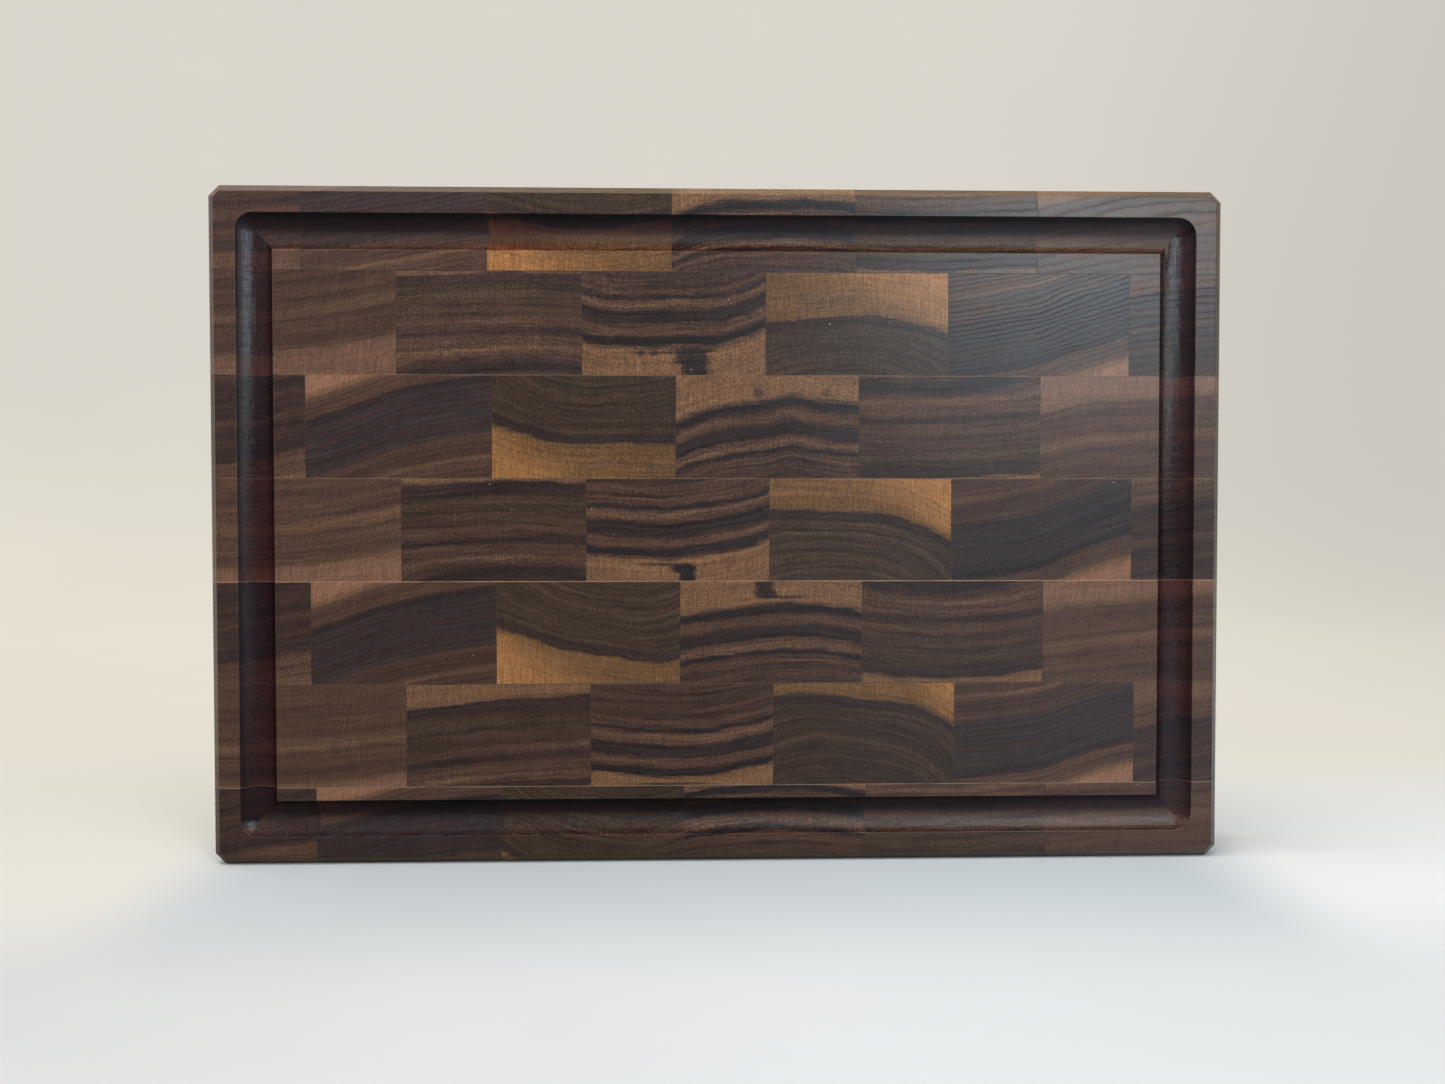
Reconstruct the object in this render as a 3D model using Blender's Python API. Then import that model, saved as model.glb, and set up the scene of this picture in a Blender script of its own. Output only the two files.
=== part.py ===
"""End-grain walnut cutting board with a juice groove, built block by block.

The board stands on one long edge. X runs along its width, Y through its thickness with
the grooved face towards -Y, and Z up its height. The origin is at the middle of the edge
that it stands on.

The real board is made in two glue-ups. Six strips are glued side by side into a panel, the
panel is sawn across into slices, and each slice is tipped up so that its end grain shows.
Every other slice is turned end for end, which gives the brick bond. The slices are glued
together, and the slab is trimmed, chamfered and routed. The model follows the same steps:
blocks and glue are sawn oversize, trimmed by the finished slab and cut by the groove.
"""

import math

import bmesh
import bpy

MM = 0.001

# Finished slab
BOARD_WIDTH = 457.2 * MM
BOARD_HEIGHT = 304.8 * MM
BOARD_THICKNESS = 38.1 * MM
CORNER_CUT = 4.8 * MM  # legs of the 45 degree cut on each corner of the outline
EDGE_CHAMFER = 3.5 * MM  # legs of the chamfer round both faces

# Slices, each one row of blocks
SLICE_PITCH = 46.3 * MM
TOP_TRIM = 8.0 * MM  # sawn off the top slice after the glue-up
LEAST_SLICE = 12.0 * MM  # a thinner leftover becomes part of the bottom slice

# Strips, each one block in every slice
STRIP_PITCH = 82.55 * MM
LEFT_BLOCK = 41.6 * MM  # width of the first block in the top row
ROW_CREEP = 0.85 * MM  # each slice lies this much further right than the bond asks
LEAST_BLOCK = 12.0 * MM  # a narrower leftover becomes part of the last block

# Glue
ROW_FILM = 0.3 * MM
STRIP_FILM = 0.15 * MM
GLUE_CLEARANCE = 0.05 * MM  # between a film and the wood on each side of it

# Juice groove, routed by a round-nosed bit
GROOVE_RIM = 12.7 * MM  # from the edge of the board to the groove
GROOVE_BIT_DIAMETER = 19.05 * MM
GROOVE_DEPTH = 4.8 * MM
GROOVE_ARC_STEPS = 14
GROOVE_CORNER_STEPS = 8

# How far raw pieces and cutters run past the finished surfaces
OVERRUN = 5.0 * MM
# Corner points of the groove cutter closer than this are one point
SAME_POINT = 0.001 * MM

# Linear colours of the strips, in the order in which they were glued
STRIP_COLOURS = {
    "walnut_a": (0.085, 0.052, 0.038),
    "walnut_b": (0.078, 0.050, 0.038),
    "walnut_c": (0.105, 0.066, 0.044),
    "walnut_d": (0.190, 0.112, 0.060),
    "walnut_e": (0.056, 0.038, 0.032),
    "walnut_f": (0.074, 0.048, 0.036),
}
GLUE_COLOUR = (0.520, 0.390, 0.240)
WOOD_ROUGHNESS = 0.45
GLUE_ROUGHNESS = 0.5


def clear_scene():
    for obj in list(bpy.data.objects):
        bpy.data.objects.remove(obj, do_unlink=True)


def make_material(name, colour, roughness):
    material = bpy.data.materials.new(name)
    material.use_nodes = True
    shader = material.node_tree.nodes["Principled BSDF"]
    shader.inputs["Base Color"].default_value = (*colour, 1.0)
    shader.inputs["Roughness"].default_value = roughness
    shader.inputs["Metallic"].default_value = 0.0
    return material


def add_object(name, bm, material=None):
    """Closes a bmesh into a named object with its faces pointing out."""
    bmesh.ops.recalc_face_normals(bm, faces=bm.faces)
    mesh = bpy.data.meshes.new(name)
    bm.to_mesh(mesh)
    bm.free()
    obj = bpy.data.objects.new(name, mesh)
    bpy.context.scene.collection.objects.link(obj)
    if material:
        mesh.materials.append(material)
    return obj


def add_cutter(name, bm):
    cutter = add_object(name, bm)
    cutter.hide_render = True
    cutter.display_type = "WIRE"
    return cutter


def prism(outline, near, far):
    """A bmesh prism of an (x, z) outline that runs from y = near to y = far."""
    bm = bmesh.new()
    face = bm.faces.new([bm.verts.new((x, near, z)) for x, z in outline])
    extruded = bmesh.ops.extrude_face_region(bm, geom=[face])["geom"]
    moved = [item for item in extruded if isinstance(item, bmesh.types.BMVert)]
    bmesh.ops.translate(bm, verts=moved, vec=(0, far - near, 0))
    return bm


# Where the seams lie


def row_seams():
    """Heights of the seams between slices, from the top row down."""
    top_row = SLICE_PITCH - TOP_TRIM
    count = math.floor((BOARD_HEIGHT - top_row - LEAST_SLICE) / SLICE_PITCH) + 1
    return [BOARD_HEIGHT - top_row - index * SLICE_PITCH for index in range(count)]


def strip_seams(row):
    """X of the seams between the blocks of a row, from left to right. The top row is 0."""
    first = LEFT_BLOCK + row * ROW_CREEP
    if row % 2:
        first += STRIP_PITCH / 2
    count = math.floor((BOARD_WIDTH - first - LEAST_BLOCK) / STRIP_PITCH) + 1
    return [first - BOARD_WIDTH / 2 + index * STRIP_PITCH for index in range(count)]


def spans_between(seams, low, high, film):
    """(start, end) of the wood between rising seams, clear of the film in each of them."""
    half_gap = film / 2 + GLUE_CLEARANCE
    starts = [low] + [seam + half_gap for seam in seams]
    ends = [seam - half_gap for seam in seams] + [high]
    return list(zip(starts, ends))


# The two cutters


def slab_envelope():
    """The finished slab: a rectangle with its corners cut off, chamfered round both faces."""
    side = BOARD_WIDTH / 2
    outline = [
        (side - CORNER_CUT, 0),
        (side, CORNER_CUT),
        (side, BOARD_HEIGHT - CORNER_CUT),
        (side - CORNER_CUT, BOARD_HEIGHT),
        (CORNER_CUT - side, BOARD_HEIGHT),
        (-side, BOARD_HEIGHT - CORNER_CUT),
        (-side, CORNER_CUT),
        (CORNER_CUT - side, 0),
    ]
    bm = prism(outline, -BOARD_THICKNESS / 2, BOARD_THICKNESS / 2)
    rims = [edge for edge in bm.edges if edge.verts[0].co.y == edge.verts[1].co.y]
    bmesh.ops.bevel(bm, geom=rims, offset=EDGE_CHAMFER, segments=1, affect="EDGES")
    return add_cutter("slab_envelope", bm)


def groove_profile():
    """(offset, y) round the groove's section, where offset is outwards from its centreline."""
    radius = GROOVE_BIT_DIAMETER / 2
    face = -BOARD_THICKNESS / 2
    bit_centre = face + GROOVE_DEPTH - radius
    half_angle = math.acos((face - bit_centre) / radius)
    profile = []
    for step in range(GROOVE_ARC_STEPS + 1):
        angle = half_angle * (2 * step / GROOVE_ARC_STEPS - 1)
        profile.append((radius * math.sin(angle), bit_centre + radius * math.cos(angle)))
    half_width = radius * math.sin(half_angle)
    above_face = face - OVERRUN
    return profile + [(half_width, above_face), (-half_width, above_face)]


def groove_loop(offset, reach_x, reach_z):
    """(x, z) round the board at an offset from the centreline, which reaches so far each way.

    The bit turns on each corner of its path, so the outer wall is round there and the inner
    wall is sharp.
    """
    points = []
    for quarter, (side_x, side_z) in enumerate(((1, 1), (-1, 1), (-1, -1), (1, -1))):
        for step in range(GROOVE_CORNER_STEPS + 1):
            angle = (quarter + step / GROOVE_CORNER_STEPS) * math.pi / 2
            turn_x = math.cos(angle) if offset > 0 else side_x
            turn_z = math.sin(angle) if offset > 0 else side_z
            x = side_x * reach_x + offset * turn_x
            z = BOARD_HEIGHT / 2 + side_z * reach_z + offset * turn_z
            points.append((x, z))
    return points


def groove_cutter():
    """The wood that the bit takes out: the groove's section swept round the board."""
    profile = groove_profile()
    inset = GROOVE_RIM + max(offset for offset, _ in profile)
    reach_x = BOARD_WIDTH / 2 - inset
    reach_z = BOARD_HEIGHT / 2 - inset
    bm = bmesh.new()
    loops = []
    for offset, y in profile:
        points = groove_loop(offset, reach_x, reach_z)
        loops.append([bm.verts.new((x, y, z)) for x, z in points])
    for loop, after in zip(loops, loops[1:] + loops[:1]):
        for index in range(len(loop)):
            bm.faces.new((loop[index - 1], loop[index], after[index], after[index - 1]))
    bmesh.ops.remove_doubles(bm, verts=bm.verts, dist=SAME_POINT)
    cutter = add_cutter("groove_cutter", bm)
    cutter.data.shade_smooth()
    return cutter


def finish_surfaces(obj, envelope, groove):
    """Trims a raw piece to the slab and routs the groove through it."""
    for name, operation, cutter in (
        ("trim_to_slab", "INTERSECT", envelope),
        ("rout_groove", "DIFFERENCE", groove),
    ):
        cut = obj.modifiers.new(name, "BOOLEAN")
        cut.operation = operation
        cut.object = cutter
        cut.solver = "EXACT"


# Blocks and glue


def make_blocks(seams, envelope, groove):
    """One object for each block, numbered from the top row down and from left to right."""
    strips = [
        make_material(name, colour, WOOD_ROUGHNESS) for name, colour in STRIP_COLOURS.items()
    ]
    side = BOARD_WIDTH / 2 + OVERRUN
    back = BOARD_THICKNESS / 2 + OVERRUN
    rows = spans_between(seams[::-1], -OVERRUN, BOARD_HEIGHT + OVERRUN, ROW_FILM)[::-1]
    for row, (low, high) in enumerate(rows):
        columns = spans_between(strip_seams(row), -side, side, STRIP_FILM)
        for column, (left, right) in enumerate(columns):
            # Rows with odd numbers on the board are the slices that were turned round
            strip = column if row % 2 else len(columns) - 1 - column
            outline = [(left, low), (right, low), (right, high), (left, high)]
            block = add_object(
                f"row_{row + 1}_block_{column + 1}",
                prism(outline, -back, back),
                strips[strip % len(strips)],
            )
            finish_surfaces(block, envelope, groove)


def glue_outline(seam, teeth_up, top, teeth_down, bottom):
    """(x, z) round a row film at a seam, with strip films that stand up and hang down from it."""
    side = BOARD_WIDTH / 2 + OVERRUN
    low = seam - ROW_FILM / 2
    high = seam + ROW_FILM / 2
    half = STRIP_FILM / 2
    outline = [(-side, low)]
    for x in teeth_down:
        outline += [(x - half, low), (x - half, bottom), (x + half, bottom), (x + half, low)]
    outline += [(side, low), (side, high)]
    for x in reversed(teeth_up):
        outline += [(x + half, high), (x + half, top), (x - half, top), (x - half, high)]
    outline.append((-side, high))
    return outline


def make_glue_lines(seams, envelope, groove):
    """One object for each row seam: its film, and the strip films of the slice above it.

    The last one also holds the strip films of the bottom slice.
    """
    material = make_material("glue", GLUE_COLOUR, GLUE_ROUGHNESS)
    back = BOARD_THICKNESS / 2 + OVERRUN
    for index, seam in enumerate(seams):
        top = BOARD_HEIGHT + OVERRUN
        if index:
            top = seams[index - 1] - ROW_FILM / 2 - GLUE_CLEARANCE
        last = index == len(seams) - 1
        teeth_down = strip_seams(index + 1) if last else []
        outline = glue_outline(seam, strip_seams(index), top, teeth_down, -OVERRUN)
        film = add_object(f"glue_line_{index + 1}", prism(outline, -back, back), material)
        finish_surfaces(film, envelope, groove)


def build_board():
    clear_scene()
    envelope = slab_envelope()
    groove = groove_cutter()
    seams = row_seams()
    make_blocks(seams, envelope, groove)
    make_glue_lines(seams, envelope, groove)


build_board()
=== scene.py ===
"""Looks of the end-grain walnut cutting board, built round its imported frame.

Every block and every glue line gets a piece with eased edges and a finely swept groove in the
place of its plain solid. A block's material is worked out in the strip that it was sawn from:
u runs across the strip, v up through its growth rings and y along its fibres, so the same six
figures come back in every row, turned round in each second one, as on the real board.
Lengths are in metres, and in millimetres inside the materials.
"""

import math

import bmesh
import bpy
from mathutils import Matrix, Vector


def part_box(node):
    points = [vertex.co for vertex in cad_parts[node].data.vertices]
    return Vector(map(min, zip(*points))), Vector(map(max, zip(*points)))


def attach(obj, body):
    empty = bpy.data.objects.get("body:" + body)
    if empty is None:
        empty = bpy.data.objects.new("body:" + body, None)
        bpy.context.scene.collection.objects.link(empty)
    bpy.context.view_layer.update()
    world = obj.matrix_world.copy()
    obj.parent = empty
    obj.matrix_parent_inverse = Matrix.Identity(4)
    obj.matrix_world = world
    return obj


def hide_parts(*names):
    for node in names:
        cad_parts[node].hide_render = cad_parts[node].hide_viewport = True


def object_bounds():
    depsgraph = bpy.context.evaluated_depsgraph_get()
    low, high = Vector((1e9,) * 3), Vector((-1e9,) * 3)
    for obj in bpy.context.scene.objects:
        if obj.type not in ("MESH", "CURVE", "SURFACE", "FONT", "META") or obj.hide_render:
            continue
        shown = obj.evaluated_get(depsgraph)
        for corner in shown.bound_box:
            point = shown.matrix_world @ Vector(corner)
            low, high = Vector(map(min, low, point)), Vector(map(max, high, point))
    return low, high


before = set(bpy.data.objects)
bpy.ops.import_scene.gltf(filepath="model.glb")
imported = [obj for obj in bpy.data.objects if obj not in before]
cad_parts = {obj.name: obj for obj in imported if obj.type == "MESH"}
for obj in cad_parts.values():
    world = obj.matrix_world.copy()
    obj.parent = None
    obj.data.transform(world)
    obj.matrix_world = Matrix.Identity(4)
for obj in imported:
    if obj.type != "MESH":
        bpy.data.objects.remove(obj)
cad_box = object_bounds()

MM = 0.001
LOW, HIGH = cad_box
BOARD_WIDTH = HIGH.x - LOW.x
BOARD_THICKNESS = HIGH.y - LOW.y
BOARD_HEIGHT = HIGH.z - LOW.z

# Finished slab
CORNER_CUT = 4.8 * MM
EDGE_CHAMFER = 3.5 * MM
ARRIS_RADIUS = 0.35 * MM
ARRIS_STEPS = 3

# Juice groove
GROOVE_RIM = 12.7 * MM
GROOVE_RADIUS = 9.525 * MM
GROOVE_DEPTH = 4.8 * MM
GROOVE_ARC_STEPS = 32
GROOVE_CORNER_STEPS = 14
LIP_RADIUS = 0.45 * MM
LIP_STEPS = 4
LIP_RISE = 0.02 * MM  # the lip's round starts this far outside the face, so the cut is clean

# The bond
ROWS = 7
COLUMNS = 6
STRIPS = "ABCDEF"
SLICE_PITCH = 46.3 * MM

OVERRUN = 5.0 * MM
SAME_POINT = 0.001 * MM
SMOOTH_ANGLE = math.radians(35)

# Camera, from the photograph's perspective
IMAGE_WIDTH = 1445
FOCAL_PIXELS = 1060
SENSOR_WIDTH = 36.0
CAMERA_PLACE = (-0.01152, -0.49722, 0.15579)
CAMERA_PITCH = math.radians(-1.258)
CAMERA_YAW = math.radians(-1.461)
CAMERA_ROLL = math.radians(-0.038)

# Linear colours of the oiled wood
INK = (0.018, 0.0110, 0.0105)
DARK = (0.029, 0.0160, 0.0130)
SLATE = (0.036, 0.0235, 0.0225)
UMBER = (0.040, 0.020, 0.0155)
HAZEL = (0.050, 0.0270, 0.0155)
BROWN = (0.058, 0.0275, 0.018)
OLIVE = (0.066, 0.0365, 0.021)
COCOA = (0.073, 0.035, 0.022)
CHESTNUT = (0.090, 0.044, 0.026)
FAWN = (0.130, 0.067, 0.036)
TAN = (0.178, 0.087, 0.042)
HONEY = (0.150, 0.072, 0.027)
AMBER = (0.335, 0.146, 0.047)
ROSE = (0.255, 0.120, 0.070)
SALMON = (0.182, 0.088, 0.053)
DUST = (0.50, 0.40, 0.30)
# Pale long grain on the sides, painted sheen on the chamfers, and a painted highlight on the inner lip
PALE_GRAIN_AND_SHEEN = (0.138, 0.104, 0.062)
SOAKED = (0.35, 0.19, 0.25, 1.0)  # what the groove keeps of its colour
PAINTED_LIGHT_KEEPS = (0.84, 0.79, 0.77, 1.0)  # painted light: what walls that face up keep instead, as if lit from above
PAINTED_LIGHT_KEEPS_PALE = (0.27, 0.20, 0.22, 1.0)  # the same painted light for sapwood, which keeps less
TORN_AND_SHADED = (0.32, 0.22, 0.40, 1.0)  # what is left of that where its walls are steep: torn end grain, and painted shade on walls that face down
GLUE_SOAKED = (0.42, 0.36, 0.40, 1.0)  # what glue keeps of its colour in the groove
WOOD_SPECULAR = 0.46

# How often the wood's textures come back, per mm along (u, y, v) or each way
PORE_SCALE = (1.25, 0.09, 1.25)
GRAIN_SCALE = (1.35, 0.09, 1.35)
TEAR_SCALE = (2.2, 0.5, 2.2)
CLOUD_SCALE = (0.07, 0.03, 0.10)
PATCH_SCALE = (0.03, 0.02, 0.09)
DRIFT_SCALE = (0.012, 0.01, 0.10)
SWELL_SCALE = (0.09, 0.3, 0.24)
WOBBLE_SCALE = (0.16, 1.0, 0.30)
STREAK_SCALE = (0.07, 0.2, 0.75)
FRAY_SCALE = (0.05, 0.2, 1.9)
FEATHER_SCALE = 1.1
RAG_SCALE = 0.7
SPECK_SCALE = 0.11
RAY_SCALE = 1.4
RAY_STRETCH_Y = 0.05
RAY_STRETCH_V = 0.06
THREAD_SCALE = 0.85
THREAD_STRETCH_U = 0.024
THREAD_STRETCH_Y = 0.012
RIDGE_STRETCH = (0.03, 0.0, 0.03)
RIDGES_PER_MM = 6.5

# How far they shift the figure: in mm, in rings for the drift, in knot sizes for the rag
SWELL = 1.1
WOBBLE = 0.5
STREAK = 1.5
FRAY = 0.9
FEATHER = 0.4
DRIFT = 0.9
KNOT_RAG = 0.40

# Smooth steps, as (start, end) or (start, end, low, high), over how red the wood is: pale wood is redder
THREAD_GAIN = (0.05, 0.20, 2.0, 1.0)
RING_GAIN = (0.08, 0.18, 1.0, 0.4)
RAY_GAIN = (0.10, 0.22, 1.0, 1.5)
GRAIN_GAIN = (0.10, 0.24, 3.0, 2.1)
SAPWOOD_REDNESS = (0.08, 0.25)

# Smooth steps that shape the textures
PORE_RADIUS = (0.34, 0.10)
LATEWOOD_START = (0.50, 0.88)
LATEWOOD_END = (1.0, 0.94)
PATCH_GAIN = (0.35, 0.65, 0.35, 1.0)
SPECK_RADIUS = (0.05, 0.02)
KNOT_EDGE = (1.25, 0.65)
GLOW_STEP = (0.1, 1.2)
GLOW_START = (0.5, 4.0)
RING_FADE = (0.0, 3.0)
ARCH_ZONE = (-3.0, -24.0)

# Smooth steps over mm from the outer edge, mm below the face, and how far a wall faces out or up
CHAMFER_ZONE = (4.2, 3.3)
CHAMFER_DEPTH = (0.0, 0.35)
RIM_ZONE = (9.0, 10.0)
WALL_DEPTH = (0.0, 0.5)
STEEP_FACING = (0.90, 0.66)
# Painted shade: walls that face down count fully as steep, walls that face up not at all
DOWNWARD_SHADE = (-0.35, 0.50, 1.0, 0.0)
# Steps that place painted light on walls that face up, and a painted shadow just under a lip
UPWARD_ZONE = (0.10, 0.50)
LEVEL_UPWARD_ZONE = (-0.20, 0.12)
UNDER_LIP_SHADOW = (0.58, 0.74, 1.0, 0.40)
# Where the inner lip's painted highlight lies
LIP_DEPTH = (0.40, 0.12)
LIP_FACING = (0.985, 0.90)
LIP_ZONE = (24.0, 26.0)

# Strengths
CLOUD_SWING = 0.34
CLOUD_LEAST = 0.83
PORE_DARKENING = -0.42
PORE_LIFT = 1.08
TEAR_SWING = 1.6
SPECK_RARITY = 0.84
SPECK_STRENGTH = 0.7
# Sides are paler long grain, chamfers get a painted sheen, and the inner lip gets a painted highlight
EDGE_LIFT = (1.5, 1.5, 1.5, 1.0)
EDGE_PALENESS = 0.6
LIP_HIGHLIGHT = 0.40
GLOW_ACROSS = 0.014
GLOW_UP = 0.03
GLOW_LEAST = 0.06
ARCH_REACH = 40.0  # mm from the arch's middle to where it has drooped by its amount

# Roughness and relief
LEAST_ROUGHNESS = 0.15
GRAIN_ROUGHNESS = 0.18
THREAD_ROUGHNESS = 0.18
RING_ROUGHNESS = 0.45
GROOVE_POLISH = -0.12
GROOVE_DULLNESS = 0.22
TORN_ROUGHNESS = 0.20
PORE_RELIEF = -0.25
GRAIN_RELIEF = 0.5
RAY_RELIEF = 0.35
RING_RELIEF = -0.3
RIDGE_RELIEF = 1.7
BUMP_STRENGTH = 0.5
BUMP_DISTANCE = 0.10 * MM

# Where a block lies in the textures, in mm
STRIP_STEP_U = 37.0
STRIP_STEP_V = 11.0
SLICE_STEP = 44.0
SLOW_FIBRES = (1.0, 0.10, 1.0)

# Glue textures
GLUE_PATCH_SCALE = (0.05, 0.2, 0.05)
GLUE_FINE_SCALE = (1.2, 0.1, 1.2)
GLUE_BROKEN = (0.25, 0.6, 0.45, 1.0)
GLUE_FINE_SWING = 0.5
GLUE_FINE_LEAST = 0.75
GLUE_ROUGHNESS = 0.40
GLUE_ROUGHNESS_SWING = 0.15


class Figure:
    """What one strip of wood shows on its end.

    bands: (height above the reference ring in mm, colour), from low to high
    rings: (width in mm, strength) of the growth rings' dark lines
    lines: for each row, the reference ring's height in mm at even steps across the strip
    rays: how far the rays lean, as u over v
    spread: for each row, how far the bands above and below the reference ring are spread
    knots: for some rows, (u, v, half width, half height, strength) of dark blotches, in mm
    arch: (amount, middle) in mm of how the rings below the reference ring droop on both sides
    tone: for each row, how light the wood is
    glow: whether the sapwood brightens towards the upper corner
    sapwood: how strong the growth rings stay above the reference ring
    grain: how strong the fine grain is
    calm: how far the rings wander off the drawn lines, as a share of the usual
    half: half the strip's width in mm
    """

    def __init__(self, bands, rings, lines, **extras):
        self.bands = bands
        self.rings = rings
        self.lines = lines
        self.rays = extras.get("rays", 0.0)
        self.spread = extras.get("spread", [(1.0, 1.0)] * len(lines))
        self.knots = extras.get("knots", {})
        self.arch = extras.get("arch")
        self.tone = extras.get("tone", [1.0] * len(lines))
        self.glow = extras.get("glow", False)
        self.sapwood = extras.get("sapwood", 1.0)
        self.grain = extras.get("grain", 1.0)
        self.calm = extras.get("calm", 1.0)
        self.half = extras.get("half", 41.275)


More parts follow.
